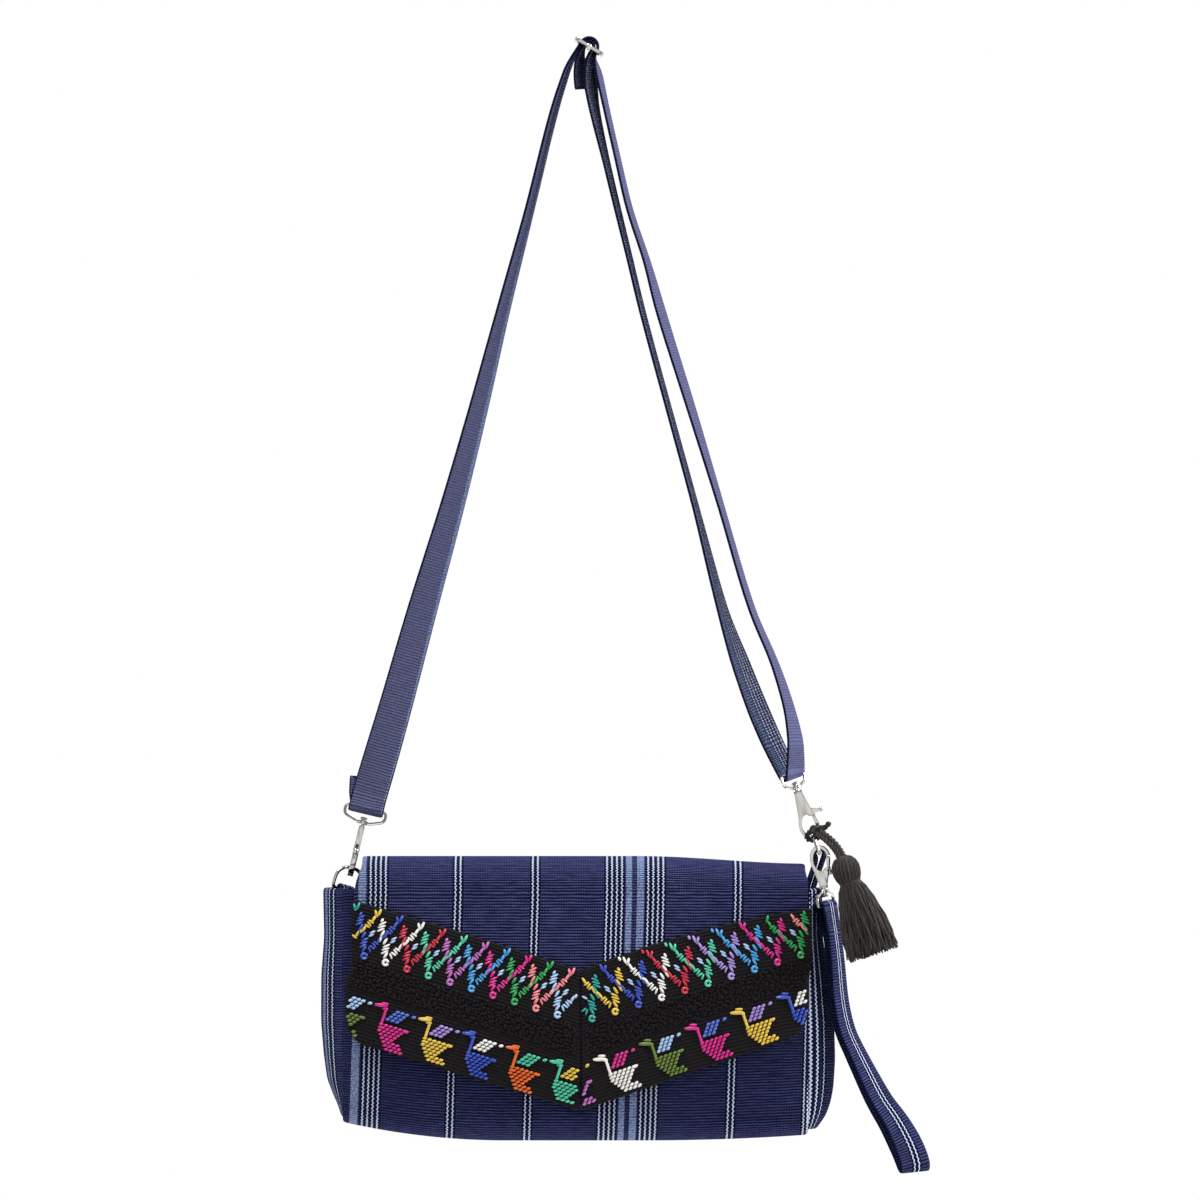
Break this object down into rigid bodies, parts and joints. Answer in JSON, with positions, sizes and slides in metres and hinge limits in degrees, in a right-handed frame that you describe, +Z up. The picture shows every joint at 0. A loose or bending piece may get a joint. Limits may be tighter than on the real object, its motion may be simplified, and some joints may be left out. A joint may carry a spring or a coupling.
{
  "type": "woven baguette bag",
  "caption": "Hanging woven cotton baguette bag with a V-shaped embroidered flap, a clip-on shoulder strap with a slider, a clip-on wrist loop and a tassel.",
  "frame": {"origin": "inside the top of the shoulder strap, where a peg or a shoulder carries the bag", "axes": "+Z up, -Y is the front with the embroidered flap, +X to the right seen from the front"},
  "size_m": [0.3186, 0.0714, 0.595],
  "materials": {
    "indigo_cotton": "ribbed weave",
    "embroidered_band": "black corded cotton with coloured embroidery",
    "nickel_plate": "polished nickel",
    "tassel_cotton": "matt threads"
  },
  "bodies": {
    "bag": {"body_panel": "indigo_cotton", "gusset_left": "indigo_cotton", "gusset_right": "indigo_cotton", "flap": "indigo_cotton", "tab_left": "indigo_cotton", "tab_right": "indigo_cotton", "shoulder_strap": "indigo_cotton", "wrist_strap": "indigo_cotton", "trim_left": "embroidered_band", "trim_right": "embroidered_band", "tassel": "tassel_cotton", "tassel_cord": "tassel_cotton", "ring_left": "nickel_plate", "ring_right": "nickel_plate", "strap_slider": "nickel_plate", "clasp_left_hook": "nickel_plate", "clasp_left_eye": "nickel_plate", "clasp_right_hook": "nickel_plate", "clasp_right_eye": "nickel_plate", "wrist_clasp_hook": "nickel_plate", "wrist_clasp_eye": "nickel_plate"},
    "left_lever": {"clasp_left_lever": "nickel_plate"},
    "right_lever": {"clasp_right_lever": "nickel_plate"},
    "wrist_lever": {"wrist_clasp_lever": "nickel_plate"}
  },
  "joints": [
    {"name": "left_lever_turn", "type": "hinge", "parent": "bag", "child": "left_lever", "pos_m": [-0.11756, -0.0022, -0.4142], "axis": [0.9724, 0, -0.2334], "range_deg": [0, 22], "stiffness_Nm_per_rad": 0.01, "springref_deg": -17.19},
    {"name": "right_lever_turn", "type": "hinge", "parent": "bag", "child": "right_lever", "pos_m": [0.11932, -0.0045, -0.39455], "axis": [0, 1, 0], "range_deg": [0, 22], "stiffness_Nm_per_rad": 0.01, "springref_deg": -17.19},
    {"name": "wrist_lever_turn", "type": "hinge", "parent": "bag", "child": "wrist_lever", "pos_m": [0.128, -0.0112, -0.42566], "axis": [0, -1, 0], "range_deg": [0, 22], "stiffness_Nm_per_rad": 0.01, "springref_deg": -17.19}
  ]
}
